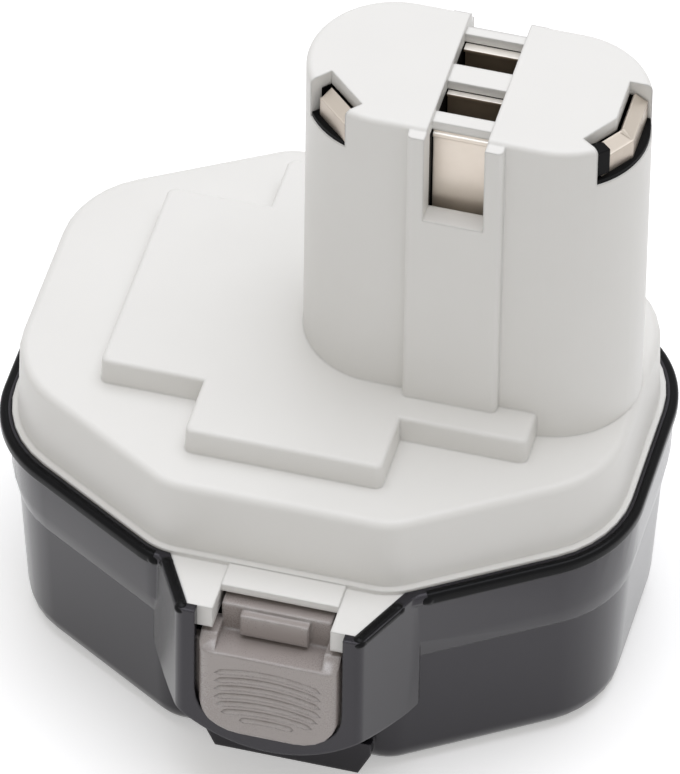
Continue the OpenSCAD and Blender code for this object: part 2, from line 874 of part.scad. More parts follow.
module output_strap_left() {
    color([0.8, 0.8, 0.8]) {
        left_upright(0);
        strip(stem_cell_top, flat(stem_cells[0]), left_mid, strap_w - 2 * fit_clear);
    }
}

module output_strap_right() {
    color([0.8, 0.8, 0.8]) {
        right_upright(0);
        strip(stem_cell_top, flat(stem_cells[1]), right_foot, strap_w - 2 * fit_clear);
    }
}

// Flat leads under the carrier that join the blade contacts to the output straps
module left_lead_plan(w) {
    bar([stem_x, window_mid + window_l / 2 - plate_t / 2], left_mid, w);
}

module right_lead_plan(w) {
    bar([stem_x, window_rear + window_l / 2 - plate_t / 2], right_foot, w);
}

module charge_lead_left() {
    face_y = window_mid + window_l / 2 - plate_t;
    color([0.8, 0.8, 0.8])
        translate([0, 0, carrier_z])
            linear_extrude(link_t)
                difference() {
                    left_lead_plan(lead_w);
                    translate([stem_x - plate_w / 2, face_y]) square([plate_w, over]);
                    translate(left_mid)
                        rotate(left_angle - 90)
                            translate([-strap_w, link_t / 2 - over]) square([2 * strap_w, over]);
                }
}

module charge_lead_right() {
    face_y = window_rear + window_l / 2 - plate_t;
    color([0.8, 0.8, 0.8])
        translate([0, 0, carrier_z])
            linear_extrude(link_t)
                difference() {
                    right_lead_plan(lead_w);
                    translate([stem_x - plate_w / 2, face_y]) square([plate_w, over]);
                    translate(right_foot - [link_t / 2, strap_w]) square([over, 2 * strap_w]);
                }
}

// Pocket for one tool blade, with a slot for the contact's tail at its rear
module blade_pocket(y) {
    front = y - window_l / 2;
    back = y + window_l / 2;
    tail = back - plate_t - fit_clear;
    translate([stem_x - channel_w / 2, 0, 0])
        rotate([90, 0, 90])
            linear_extrude(channel_w)
                polygon([[front, pocket_z], [tail, pocket_z], [tail, carrier_z - over],
                    [back, carrier_z - over], [back, top_z], [front, top_z]]);
}

// Ledges that fill the floors of the corner pockets, clear of the pocket ends
module ledge_plan() {
    polygon([
        left_a + left_along * fit_clear, left_b - left_along * fit_clear,
        left_plan[2] - left_along * fit_clear, left_plan[3] + left_along * fit_clear
    ]);
    polygon([
        right_a + right_along * fit_clear, right_b, right_c - [0, fit_clear],
        right_plan[3] - [0, fit_clear], right_plan[4], right_far + right_along * fit_clear
    ]);
}

// Black plug in the stem head that holds all contacts
module contact_carrier() {
    color([0.12, 0.12, 0.13])
        difference() {
            union() {
                translate([0, 0, carrier_z])
                    linear_extrude(carrier_top - carrier_z) stem_plan(stem_in_r - fit_clear);
                translate([0, 0, corner_z - ledge_t])
                    linear_extrude(ledge_t)
                        intersection() {
                            stem_plan(stem_half_w - fit_clear);
                            ledge_plan();
                        }
            }
            for (y = [window_mid, window_rear])
                blade_pocket(y);
            block(stem_x, channel_w, -stem_half_w, plate_front + plate_t, carrier_z - over, top_z);
            prism(corner_z, top_z, [
                left_a - left_out * back_room, left_b - left_out * back_room, left_plan[2], left_plan[3]
            ]);
            prism(corner_z, top_z, [
                right_a - [back_room, 0], right_b - [back_room, 0], right_c - [back_room, 0],
                right_plan[3], right_plan[4], right_plan[5]
            ]);
            left_upright(fit_clear);
            right_upright(fit_clear);
            translate([0, 0, carrier_z - eps])
                linear_extrude(link_t + fit_clear) {
                    left_lead_plan(lead_w + 2 * fit_clear);
                    right_lead_plan(lead_w + 2 * fit_clear);
                }
        }
}

// Temperature switch on the top card and its two strips

module switch_block() {
    translate([switch_x, -run_y - switch_w / 2, stem_cell_z]) cube([switch_l, switch_w, switch_h]);
}

module thermal_switch() {
    color([0.2, 0.2, 0.22]) switch_block();
}

module sensor_strip() {
    run_x = switch_x + switch_l;
    color([0.8, 0.8, 0.8]) {
        translate([run_x, -run_y - strap_w / 2, stem_cell_z])
            cube([stem_x + strap_w / 2 - run_x, strap_w, link_t]);
        block(stem_x, strap_w, -run_y, plate_front, stem_cell_z, stem_cell_z + link_t);
        block(stem_x, strap_w, plate_front - link_t, plate_front, stem_cell_z, carrier_z + strap_w);
    }
}

module sensor_lead() {
    color([0.8, 0.8, 0.8])
        difference() {
            union() {
                strip(stem_cell_z, [switch_x + strap_w, -run_y], sensor_tap, strap_w);
                translate([sensor_tap.x, sensor_tap.y, card_z]) cylinder(d = strap_w, h = card_t + link_t);
            }
            switch_block();
        }
}

// Insulating cards

module bottom_card() {
    color([0.85, 0.8, 0.65])
        translate([tub_x, 0, 0])
            prism(floor_t, floor_t + card_t, base_plan(-foot_in - wall - hollow_soft - fit_clear, tub_more));
}

module top_card() {
    color([0.85, 0.8, 0.65])
        difference() {
            prism(card_z, stem_cell_z, base_plan(band_in - seam_clear - wall - fit_clear));
            for (p = [flat(base_cells[6]), flat(stem_cells[1])])
                translate([p.x, p.y, card_z - over]) cylinder(d = riser_d + 2 * fit_clear, h = 2 * over);
            translate([sensor_tap.x, sensor_tap.y, card_z - over])
                cylinder(d = strap_w + 2 * fit_clear, h = 2 * over);
        }
}

module stem_card() {
    color([0.85, 0.8, 0.65])
        difference() {
            translate([0, 0, stem_cell_top + link_t])
                linear_extrude(card_t) stem_plan(stem_in_r - fit_clear);
            left_upright(fit_clear);
            right_upright(fit_clear);
            block(stem_x, strap_w + 2 * fit_clear, -stem_half_w, plate_front, stem_cell_top, top_z);
        }
}

// Cells and links

module cell_solid() {
    soft = 0.8;
    body_h = cell_h - cap_h;
    rotate_extrude()
        polygon([
            [0, 0], [cell_r - soft, 0], [cell_r, soft], [cell_r, body_h - soft], [cell_r - soft, body_h],
            [cap_d / 2, body_h], [cap_d / 2, cell_h], [0, cell_h]
        ]);
}

module cell(i) {
    c = i < len(base_cells) ? base_cells[i] : stem_cells[i - len(base_cells)];
    z = i < len(base_cells) ? cell_z : stem_cell_z;
    color([0.45, 0.6, 0.5])
        translate([c.x, c.y, z + (c.z < 0 ? cell_h : 0)])
            rotate([c.z < 0 ? 180 : 0, 0, 0]) cell_solid();
}

module link(pair, z) {
    color([0.8, 0.8, 0.8]) strip(z, flat(base_cells[pair[0]]), flat(base_cells[pair[1]]), link_w);
}

module riser_link_left() {
    p = flat(base_cells[6]);
    color([0.8, 0.8, 0.8]) {
        translate([p.x, p.y, cell_top]) cylinder(d = link_w, h = link_t);
        translate([p.x, p.y, cell_top]) cylinder(d = riser_d, h = stem_cell_z - cell_top);
    }
}

module riser_link_right() {
    p = flat(stem_cells[1]);
    color([0.8, 0.8, 0.8]) {
        strip(cell_top, flat(base_cells[8]), p, link_w);
        translate([p.x, p.y, cell_top]) cylinder(d = riser_d, h = stem_cell_z - cell_top);
    }
}

lower_case();
upper_case();
latch_button_front();
latch_button_rear();
latch_spring_front();
latch_spring_rear();
contact_carrier();
corner_contact_left();
corner_contact_right();
front_contact();
middle_contact();
rear_contact();
output_strap_left();
output_strap_right();
charge_lead_left();
charge_lead_right();
thermal_switch();
sensor_strip();
sensor_lead();
bottom_card();
top_card();
stem_card();
riser_link_left();
riser_link_right();
for (i = [0:len(cell_names) - 1])
    cell(i);
for (i = [0:len(bottom_names) - 1])
    link(bottom_pairs[i], cell_z - link_t);
for (i = [0:len(top_names) - 1])
    link(top_pairs[i], cell_top);
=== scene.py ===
import math

import bmesh
import bpy
from mathutils import Matrix, Vector


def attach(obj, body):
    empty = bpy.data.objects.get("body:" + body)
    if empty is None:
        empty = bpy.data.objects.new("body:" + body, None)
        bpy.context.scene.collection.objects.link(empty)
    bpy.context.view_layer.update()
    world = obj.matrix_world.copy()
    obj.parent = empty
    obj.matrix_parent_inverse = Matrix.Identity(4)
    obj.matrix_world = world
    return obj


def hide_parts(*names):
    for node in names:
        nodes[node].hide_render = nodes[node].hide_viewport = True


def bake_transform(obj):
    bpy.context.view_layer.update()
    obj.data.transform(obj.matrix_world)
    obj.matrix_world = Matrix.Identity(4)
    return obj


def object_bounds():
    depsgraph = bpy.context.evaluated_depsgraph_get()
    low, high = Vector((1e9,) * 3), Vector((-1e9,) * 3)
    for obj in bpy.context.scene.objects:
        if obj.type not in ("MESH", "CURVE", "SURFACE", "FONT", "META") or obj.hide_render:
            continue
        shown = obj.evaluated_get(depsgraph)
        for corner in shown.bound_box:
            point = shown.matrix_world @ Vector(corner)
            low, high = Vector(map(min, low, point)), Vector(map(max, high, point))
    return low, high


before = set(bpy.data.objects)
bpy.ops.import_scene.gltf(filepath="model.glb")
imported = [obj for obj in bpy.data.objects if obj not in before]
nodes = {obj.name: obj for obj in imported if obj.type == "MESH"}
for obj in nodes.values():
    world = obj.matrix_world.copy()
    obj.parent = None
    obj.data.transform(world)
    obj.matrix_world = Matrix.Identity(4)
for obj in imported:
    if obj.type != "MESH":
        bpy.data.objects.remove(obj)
cadLow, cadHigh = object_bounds()
scene = bpy.context.scene
print("frame loaded,", len(nodes), "nodes")


def addObject(name, data):
    obj = bpy.data.objects.new(name, data)
    scene.collection.objects.link(obj)
    return obj


# camera at the photo's angle: far off with a long lens
shot = {
    "at": (0.324407, -1.279681, 1.357568),
    "azimuth": 14.23,
    "elevation": 44.88,
    "roll": 0.85,
    "lens": 558.14,
    "sensor": 36.0,
    "clip": (0.05, 30),
}


def placeCamera():
    az, el, roll = (math.radians(shot[k]) for k in ("azimuth", "elevation", "roll"))
    back = Vector((math.sin(az) * math.cos(el), -math.cos(az) * math.cos(el), math.sin(el)))
    right = (-back).cross(Vector((0, 0, 1))).normalized()
    up = right.cross(-back)
    tiltedRight = right * math.cos(roll) + up * math.sin(roll)
    tiltedUp = up * math.cos(roll) - right * math.sin(roll)
    data = bpy.data.cameras.new("studioCamera")
    data.lens = shot["lens"]
    data.sensor_width = shot["sensor"]
    data.clip_start, data.clip_end = shot["clip"]
    camera = addObject("studioCamera", data)
    turn = Matrix((tiltedRight, tiltedUp, back)).transposed().to_4x4()
    camera.matrix_world = Matrix.Translation(shot["at"]) @ turn
    scene.camera = camera


placeCamera()
scene.view_settings.view_transform = "Standard"
print("camera placed")


def addNode(tree, kind, at=(0, 0), **settings):
    node = tree.nodes.new(kind)
    node.location = at
    for key, value in settings.items():
        setattr(node, key, value)
    return node


def wire(tree, source, target):
    tree.links.new(source, target)


# a socket's input: another socket or a plain value
def feed(tree, socket, value):
    if isinstance(value, bpy.types.NodeSocket):
        wire(tree, value, socket)
    else:
        socket.default_value = value


def mathNode(tree, operation, at, *values, clamp=False):
    node = addNode(tree, "ShaderNodeMath", at, operation=operation, use_clamp=clamp)
    for socket, value in zip(node.inputs, values):
        feed(tree, socket, value)
    return node.outputs[0]


# 0 to 1 as a value goes from the first limit to the second
def rampNode(tree, at, value, limits, **settings):
    ramp = addNode(tree, "ShaderNodeMapRange", at, **settings)
    ramp.inputs["From Min"].default_value, ramp.inputs["From Max"].default_value = limits
    wire(tree, value, ramp.inputs["Value"])
    return ramp.outputs["Result"]


def newPaint(name):
    paint = bpy.data.materials.new(name)
    paint.use_nodes = True
    return paint, paint.node_tree, paint.node_tree.nodes["Principled BSDF"]


# soft studio: one large panel overhead in a pale tent, on a white sweep
studio = {
    "panelPower": 18.0,
    "panelSize": 1.5,
    "panelAt": (0.1, 0.2, 1.7),
    "panelTone": (0.96, 0.985, 1.06),
    "aimAt": (0, 0, 0.05),
    "horizonGlow": 0.30,
    "zenithGlow": 0.56,
    "zenithFrom": 0.6,
    "tentTone": (1.0, 0.975, 0.93, 1),
    "floorTone": (0.93, 0.93, 0.93, 1),
    "floorLift": 0.36,
    "floorSize": 6.0,
    "floorGap": 0.0001,
    "floorRough": 0.9,
    "floorSpecular": 0.1,
}


# 1 for rays that see the set straight, mirrored or through a clear piece
def seenRays(tree, at):
    path = addNode(tree, "ShaderNodeLightPath", at)
    total = path.outputs["Is Camera Ray"]
    for i, kind in enumerate(("Is Glossy Ray", "Is Transmission Ray")):
        spot = (at[0] + 200 + 150 * i, at[1])
        total = mathNode(tree, "ADD", spot, total, path.outputs[kind], clamp=True)
    return total


def addPanel():
    data = bpy.data.lights.new("topPanel", "AREA")
    data.shape = "SQUARE"
    data.size = studio["panelSize"]
    data.energy = studio["panelPower"]
    data.color = studio["panelTone"]
    lamp = addObject("topPanel", data)
    lamp.location = studio["panelAt"]
    lamp.rotation_mode = "QUATERNION"
    toAim = Vector(studio["aimAt"]) - lamp.location
    lamp.rotation_quaternion = toAim.to_track_quat("-Z", "Y")


def addFloor():
    half = studio["floorSize"] / 2
    z = cadLow.z - studio["floorGap"]
    mesh = bpy.data.meshes.new("sweepFloor")
    corners = [(-half, -half, z), (half, -half, z), (half, half, z), (-half, half, z)]
    mesh.from_pydata(corners, [], [(0, 1, 2, 3)])
    floor = addObject("sweepFloor", mesh)
    paint, tree, shader = newPaint("paleSweep")
    shader.inputs["Base Color"].default_value = studio["floorTone"]
    shader.inputs["Roughness"].default_value = studio["floorRough"]
    shader.inputs["Specular IOR Level"].default_value = studio["floorSpecular"]
    shader.inputs["Emission Color"].default_value = (1, 1, 1, 1)
    seen = seenRays(tree, (-900, -300))
    lift = mathNode(tree, "MULTIPLY", (-300, -300), seen, studio["floorLift"])
    wire(tree, lift, shader.inputs["Emission Strength"])
    mesh.materials.append(paint)


def addTent():
    world = bpy.data.worlds.new("studioTent")
    scene.world = world
    world.use_nodes = True
    tree = world.node_tree
    tree.nodes.clear()
    where = addNode(tree, "ShaderNodeTexCoord", (-800, 0))
    parts = addNode(tree, "ShaderNodeSeparateXYZ", (-600, 0))
    wire(tree, where.outputs["Generated"], parts.inputs[0])
    rise = addNode(tree, "ShaderNodeMapRange", (-400, 0), interpolation_type="SMOOTHSTEP")
    rise.inputs["From Max"].default_value = studio["zenithFrom"]
    rise.inputs["To Min"].default_value = studio["horizonGlow"]
    rise.inputs["To Max"].default_value = studio["zenithGlow"]
    wire(tree, parts.outputs["Z"], rise.inputs["Value"])
    tent = addNode(tree, "ShaderNodeBackground", (-200, 0))
    tent.inputs["Color"].default_value = studio["tentTone"]
    wire(tree, rise.outputs["Result"], tent.inputs["Strength"])
    plain = addNode(tree, "ShaderNodeBackground", (-200, -150))
    plain.inputs["Color"].default_value = (1, 1, 1, 1)
    pick = addNode(tree, "ShaderNodeMixShader", (0, 0))
    wire(tree, seenRays(tree, (-800, 300)), pick.inputs[0])
    wire(tree, tent.outputs[0], pick.inputs[1])
    wire(tree, plain.outputs[0], pick.inputs[2])
    out = addNode(tree, "ShaderNodeOutputWorld", (200, 0))
    wire(tree, pick.outputs[0], out.inputs["Surface"])


addPanel()
addFloor()
addTent()
print("studio built")


def newGroup(name, inputs, outputs):
    group = bpy.data.node_groups.new(name, "ShaderNodeTree")
    for label, value in inputs.items():
        socket = group.interface.new_socket(label, in_out="INPUT", socket_type="NodeSocketFloat")
        socket.default_value = value
    for label, kind in outputs.items():
        group.interface.new_socket(label, in_out="OUTPUT", socket_type=kind)
    ins = addNode(group, "NodeGroupInput", (-900, 0))
    outs = addNode(group, "NodeGroupOutput", (700, 0))
    return group, ins, outs


# fine spark texture of a moulded surface, with slow drifts in tone and gloss
grainNoise = {"fineDetail": 2, "fineRoughness": 0.6, "driftDetail": 3, "driftRoughness": 0.5}


def buildMouldGrain():
    group, ins, outs = newGroup(
        "mouldGrain",
        {"Grain": 4000.0, "Drift": 60.0},
        {"Height": "NodeSocketFloat", "Tone": "NodeSocketFloat", "Gloss": "NodeSocketFloat"},
    )
    where = addNode(group, "ShaderNodeTexCoord", (-900, 300))
    fine = addNode(group, "ShaderNodeTexNoise", (-600, 300))
    fine.inputs["Detail"].default_value = grainNoise["fineDetail"]
    fine.inputs["Roughness"].default_value = grainNoise["fineRoughness"]
    drift = addNode(group, "ShaderNodeTexNoise", (-600, 0))
    drift.inputs["Detail"].default_value = grainNoise["driftDetail"]
    drift.inputs["Roughness"].default_value = grainNoise["driftRoughness"]
    wire(group, where.outputs["Object"], fine.inputs["Vector"])
    wire(group, where.outputs["Object"], drift.inputs["Vector"])
    wire(group, ins.outputs["Grain"], fine.inputs["Scale"])
    wire(group, ins.outputs["Drift"], drift.inputs["Scale"])
    both = mathNode(group, "ADD", (-200, 150), fine.outputs["Fac"], drift.outputs["Fac"])
    mean = mathNode(group, "MULTIPLY", (0, 150), both, 0.5)
    wire(group, fine.outputs["Fac"], outs.inputs["Height"])
    wire(group, drift.outputs["Fac"], outs.inputs["Tone"])
    wire(group, mean, outs.inputs["Gloss"])
    return group


# mask of the edges, where rubbed wear and a painted highlight lighten the tone, and a normal that
# rolls over them
wearHighlightMask = {"samples": 6, "turn": (0.995, 0.80), "patchDetail": 3, "patch": (0.4, 0.7)}


def buildEdgeWearAndHighlight():
    group, ins, outs = newGroup(
        "edgeWearAndHighlight",
        {"Radius": 0.0004, "Patch": 900.0},
        {"Wear And Highlight": "NodeSocketFloat", "Normal": "NodeSocketVector"},
    )
    bevel = addNode(group, "ShaderNodeBevel", (-600, 200), samples=wearHighlightMask["samples"])
    wire(group, ins.outputs["Radius"], bevel.inputs["Radius"])
    surface = addNode(group, "ShaderNodeNewGeometry", (-600, 0))
    along = addNode(group, "ShaderNodeVectorMath", (-400, 100), operation="DOT_PRODUCT")
    wire(group, bevel.outputs["Normal"], along.inputs[0])
    wire(group, surface.outputs["True Normal"], along.inputs[1])
    turned = rampNode(group, (-200, 100), along.outputs["Value"], wearHighlightMask["turn"])
    where = addNode(group, "ShaderNodeTexCoord", (-600, -300))
    patch = addNode(group, "ShaderNodeTexNoise", (-400, -300))
    patch.inputs["Detail"].default_value = wearHighlightMask["patchDetail"]
    wire(group, where.outputs["Object"], patch.inputs["Vector"])
    wire(group, ins.outputs["Patch"], patch.inputs["Scale"])
    broken = rampNode(group, (-200, -300), patch.outputs["Fac"], wearHighlightMask["patch"])
    wearAndHighlight = mathNode(group, "MULTIPLY", (100, 0), turned, broken)
    wire(group, wearAndHighlight, outs.inputs["Wear And Highlight"])
    wire(group, bevel.outputs["Normal"], outs.inputs["Normal"])
    return group


mouldGrain = buildMouldGrain()
edgeWearAndHighlight = buildEdgeWearAndHighlight()


def groupNode(tree, group, at, **values):
    node = addNode(tree, "ShaderNodeGroup", at, node_tree=group)
    for label, value in values.items():
        node.inputs[label].default_value = value
    return node


def blendTone(tree, at, mask, first, second):
    mix = addNode(tree, "ShaderNodeMix", at, data_type="RGBA")
    for socket, value in ((mix.inputs[6], first), (mix.inputs[7], second)):
        feed(tree, socket, (*value, 1) if isinstance(value, tuple) else value)
    wire(tree, mask, mix.inputs[0])
    return mix.outputs[2]


def spread(tree, at, value, low, high):
    span = addNode(tree, "ShaderNodeMapRange", at)
    span.inputs["To Min"].default_value = low
    span.inputs["To Max"].default_value = high
    wire(tree, value, span.inputs["Value"])
    return span.outputs["Result"]


# 1 on faces that look straight up or down
def levelFaces(tree, at, limits=(0.9, 0.97)):
    where = addNode(tree, "ShaderNodeTexCoord", (at[0] - 600, at[1]))
    facing = addNode(tree, "ShaderNodeSeparateXYZ", (at[0] - 400, at[1]))
    wire(tree, where.outputs["Normal"], facing.inputs[0])
    level = mathNode(tree, "ABSOLUTE", (at[0] - 200, at[1]), facing.outputs["Z"])
    return rampNode(tree, at, level, limits)


def mouldedPlastic(name, look):
    paint, tree, shader = newPaint(name)
    grain = groupNode(tree, mouldGrain, (-1000, 0), Grain=look["grain"], Drift=look["drift"])
    wearAndHighlight = groupNode(tree, edgeWearAndHighlight, (-1000, -300), Radius=look["edge"], Patch=look["patch"])
    body = blendTone(tree, (-700, 200), grain.outputs["Tone"], look["dark"], look["light"])
    # edges get a lighter tone: partly rubbed wear, partly a painted highlight
    amount = spread(tree, (-700, -100), wearAndHighlight.outputs["Wear And Highlight"], 0, look["wearHighlightAmount"])
    tone = blendTone(tree, (-400, 200), amount, body, look["wearHighlightTone"])
    if "endTone" in look:
        bare = levelFaces(tree, (-700, 500))
        tone = blendTone(tree, (-200, 300), bare, tone, look["endTone"])
        wire(tree, bare, shader.inputs["Metallic"])
    wire(tree, tone, shader.inputs["Base Color"])
    rough = spread(tree, (-400, 0), grain.outputs["Gloss"], *look["rough"])
    wire(tree, rough, shader.inputs["Roughness"])
    bump = addNode(tree, "ShaderNodeBump", (-400, -300))
    bump.inputs["Distance"].default_value = look["depth"]
    bump.inputs["Strength"].default_value = 1.0
    wire(tree, grain.outputs["Height"], bump.inputs["Height"])
    wire(tree, wearAndHighlight.outputs["Normal"], bump.inputs["Normal"])
    wire(tree, bump.outputs["Normal"], shader.inputs["Normal"])
    shader.inputs["Specular IOR Level"].default_value = look["specular"]
    shader.inputs["Specular Tint"].default_value = (*look.get("sheen", (1, 1, 1)), 1)
    return paint


# each look's edge tone lightens its edges: rubbed wear with a painted highlight on top
upperLook = {
    "dark": (0.785, 0.776, 0.752), "light": (0.815, 0.806, 0.782), "wearHighlightTone": (0.90, 0.895, 0.88),
    "wearHighlightAmount": 0.45, "grain": 5200.0, "drift": 70.0, "edge": 0.0006, "patch": 500.0,
    "rough": (0.34, 0.50), "depth": 0.000012, "specular": 0.45,
}
lowerLook = {
    "dark": (0.009, 0.0087, 0.0125), "light": (0.013, 0.0125, 0.0165),
    "wearHighlightTone": (0.10, 0.10, 0.105), "wearHighlightAmount": 0.3, "grain": 4600.0, "drift": 90.0,
    "edge": 0.0006, "patch": 800.0, "rough": (0.12, 0.21), "depth": 0.000005,
    "specular": 0.45, "sheen": (0.985, 0.945, 1.0),
}
rimLook = {
    "dark": (0.004, 0.004, 0.0045), "light": (0.006, 0.006, 0.0065), "wearHighlightTone": (0.04, 0.04, 0.043),
    "wearHighlightAmount": 0.2, "grain": 4600.0, "drift": 90.0, "edge": 0.0002, "patch": 800.0,
    "rough": (0.16, 0.28), "depth": 0.000004, "specular": 0.1,
}
buttonLook = {
    "dark": (0.315, 0.277, 0.262), "light": (0.345, 0.306, 0.291), "wearHighlightTone": (0.58, 0.56, 0.55),
    "wearHighlightAmount": 0.7, "grain": 5200.0, "drift": 110.0, "edge": 0.0008, "patch": 400.0,
    "rough": (0.22, 0.34), "depth": 0.00001, "specular": 0.9,
}
carrierLook = {
    "dark": (0.003, 0.003, 0.0032), "light": (0.005, 0.005, 0.0053), "wearHighlightTone": (0.02, 0.02, 0.02),
    "wearHighlightAmount": 0.15, "grain": 5200.0, "drift": 120.0, "edge": 0.0002, "patch": 900.0,
    "rough": (0.40, 0.60), "depth": 0.00001, "specular": 0.08,
}
cardLook = {
    "dark": (0.56, 0.46, 0.28), "light": (0.66, 0.56, 0.36), "wearHighlightTone": (0.70, 0.62, 0.45),
    "wearHighlightAmount": 0.3, "grain": 2600.0, "drift": 240.0, "edge": 0.0001, "patch": 1200.0,
    "rough": (0.70, 0.92), "depth": 0.00002, "specular": 0.2,
}
upperPlastic = mouldedPlastic("upperPlastic", upperLook)
lowerPlastic = mouldedPlastic("lowerPlastic", lowerLook)
rimPlastic = mouldedPlastic("rimPlastic", rimLook)
buttonPlastic = mouldedPlastic("buttonPlastic", buttonLook)
carrierPlastic = mouldedPlastic("carrierPlastic", carrierLook)
insulatingCard = mouldedPlastic("insulatingCard", cardLook)


# rolled sheet metal: fine drawn lines, stains, softened cut edges, and a lighter tone painted on
# faces that look up as a highlight
metalFinish = {"lineDetail": 4, "patch": 1500.0, "paintedTopLight": (0.55, 0.9)}


def sheetMetal(name, look):
    paint, tree, shader = newPaint(name)
    shader.inputs["Metallic"].default_value = look["metal"]
    where = addNode(tree, "ShaderNodeTexCoord", (-1300, 0))
    stretch = addNode(tree, "ShaderNodeMapping", (-1100, 0))
    stretch.inputs["Scale"].default_value = look["drawn"]
    wire(tree, where.outputs["Object"], stretch.inputs["Vector"])
    lines = addNode(tree, "ShaderNodeTexNoise", (-900, 0))
    lines.inputs["Scale"].default_value = 1.0
    lines.inputs["Detail"].default_value = metalFinish["lineDetail"]
    wire(tree, stretch.outputs["Vector"], lines.inputs["Vector"])
    stain = groupNode(tree, mouldGrain, (-900, -300), Grain=look["grain"], Drift=look["drift"])
    wearAndHighlight = groupNode(tree, edgeWearAndHighlight, (-900, -500), Radius=look["edge"], Patch=metalFinish["patch"])
    body = blendTone(tree, (-600, 200), stain.outputs["Tone"], look["dark"], look["light"])
    # faces that look up take the top tone: a painted highlight
    facing = addNode(tree, "ShaderNodeSeparateXYZ", (-900, 400))
    wire(tree, where.outputs["Normal"], facing.inputs[0])
    paintedTopLight = rampNode(tree, (-700, 400), facing.outputs["Z"], metalFinish["paintedTopLight"])
    tone = blendTone(tree, (-400, 300), paintedTopLight, body, look["top"])
    wire(tree, tone, shader.inputs["Base Color"])
    rough = spread(tree, (-400, 0), lines.outputs["Fac"], *look["rough"])
    wire(tree, rough, shader.inputs["Roughness"])
    bump = addNode(tree, "ShaderNodeBump", (-400, -300))
    bump.inputs["Distance"].default_value = look["depth"]
    wire(tree, lines.outputs["Fac"], bump.inputs["Height"])
    wire(tree, wearAndHighlight.outputs["Normal"], bump.inputs["Normal"])
    wire(tree, bump.outputs["Normal"], shader.inputs["Normal"])
    return paint


nickelLook = {
    "dark": (0.70, 0.62, 0.54), "light": (0.79, 0.72, 0.64), "top": (0.88, 0.85, 0.80),
    "metal": 0.7, "drawn": (900.0, 900.0, 9000.0), "grain": 3000.0, "drift": 260.0,
    "edge": 0.0002, "rough": (0.26, 0.46), "depth": 0.000004,
}
bronzeLook = {
    "dark": (0.44, 0.33, 0.23), "light": (0.58, 0.46, 0.34), "top": (0.88, 0.84, 0.78),
    "metal": 0.4, "drawn": (900.0, 900.0, 9000.0), "grain": 3000.0, "drift": 320.0,
    "edge": 0.0002, "rough": (0.30, 0.50), "depth": 0.000005,
}
linkLook = {
    "dark": (0.60, 0.585, 0.56), "light": (0.70, 0.69, 0.67), "top": (0.70, 0.69, 0.67),
    "metal": 1.0, "drawn": (1200.0, 9000.0, 9000.0), "grain": 3000.0, "drift": 200.0,
    "edge": 0.0001, "rough": (0.25, 0.45), "depth": 0.000004,
}
springLook = {
    "dark": (0.52, 0.53, 0.55), "light": (0.62, 0.63, 0.65), "top": (0.62, 0.63, 0.65),
    "metal": 1.0, "drawn": (9000.0, 900.0, 900.0), "grain": 3000.0, "drift": 160.0,
    "edge": 0.0001, "rough": (0.16, 0.32), "depth": 0.000003,
}
# the corner contacts get a darker copy of the nickel: painted shade for contacts sunk in the corner
# pockets
shadedCornerLook = {
    "dark": (0.47, 0.41, 0.35), "light": (0.60, 0.53, 0.46), "top": (0.58, 0.52, 0.45),
    "metal": 0.7, "drawn": (9000.0, 900.0, 900.0), "grain": 3000.0, "drift": 300.0,
    "edge": 0.0003, "rough": (0.28, 0.46), "depth": 0.000004,
}
contactNickel = sheetMetal("contactNickel", nickelLook)
shadedCornerNickel = sheetMetal("shadedCornerNickel", shadedCornerLook)
contactBronze = sheetMetal("contactBronze", bronzeLook)
linkNickel = sheetMetal("linkNickel", linkLook)
springSteel = sheetMetal("springSteel", springLook)

sleeveLook = {
    "dark": (0.14, 0.29, 0.21), "light": (0.18, 0.35, 0.26), "wearHighlightTone": (0.3, 0.45, 0.36),
    "endTone": (0.62, 0.61, 0.59),
    "wearHighlightAmount": 0.3, "grain": 1800.0, "drift": 140.0, "edge": 0.0003, "patch": 800.0,
    "rough": (0.28, 0.46), "depth": 0.00001, "specular": 0.45,
}
cellSleeve = mouldedPlastic("cellSleeve", sleeveLook)
print("materials made")


def dress(prefixes, paint):
    for name, obj in nodes.items():
        if name.startswith(prefixes):
            obj.data.materials.clear()
            obj.data.materials.append(paint)


dress(("upper_case",), upperPlastic)
dress(("lower_case",), lowerPlastic)
dress(("latch_button",), buttonPlastic)
dress(("contact_carrier", "thermal_switch"), carrierPlastic)
dress(("corner_contact",), shadedCornerNickel)
dress(("front_contact", "output_strap", "charge_lead", "sensor_"), contactNickel)
dress(("middle_contact", "rear_contact"), contactBronze)
dress(("bottom_link", "top_link", "riser_link"), linkNickel)
dress(("latch_spring",), springSteel)
dress(("bottom_card", "top_card", "stem_card"), insulatingCard)
dress(("cell_",), cellSleeve)
print("nodes dressed")


mergeWithin = 2e-6
flatWithin = math.radians(0.5)


# merged copy of a CAD mesh, with its flat faces whole
def mergedCopy(name):
    form = bmesh.new()
    form.from_mesh(nodes[name].data)
    bmesh.ops.remove_doubles(form, verts=form.verts, dist=mergeWithin)
    bmesh.ops.dissolve_limit(form, angle_limit=flatWithin, verts=form.verts, edges=form.edges)
    return form


# piece made of a form, smooth but for its real edges
def addSkin(form, name, paint, body, slotName, sharpFrom, *stands):
    for face in form.faces:
        face.smooth = True
    sharp = math.radians(sharpFrom)
    for edge in form.edges:
        edge.smooth = len(edge.link_faces) == 2 and edge.calc_face_angle(0) < sharp
    mesh = bpy.data.meshes.new(name)
    form.to_mesh(mesh)
    form.free()
    mesh.materials.append(paint)
    skin = addObject(name, mesh)
    even = skin.modifiers.new("evenNormals", "WEIGHTED_NORMAL")
    even.keep_sharp = True
    if body:
        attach(skin, body)
    if stands:
        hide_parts(*stands)
    return skin


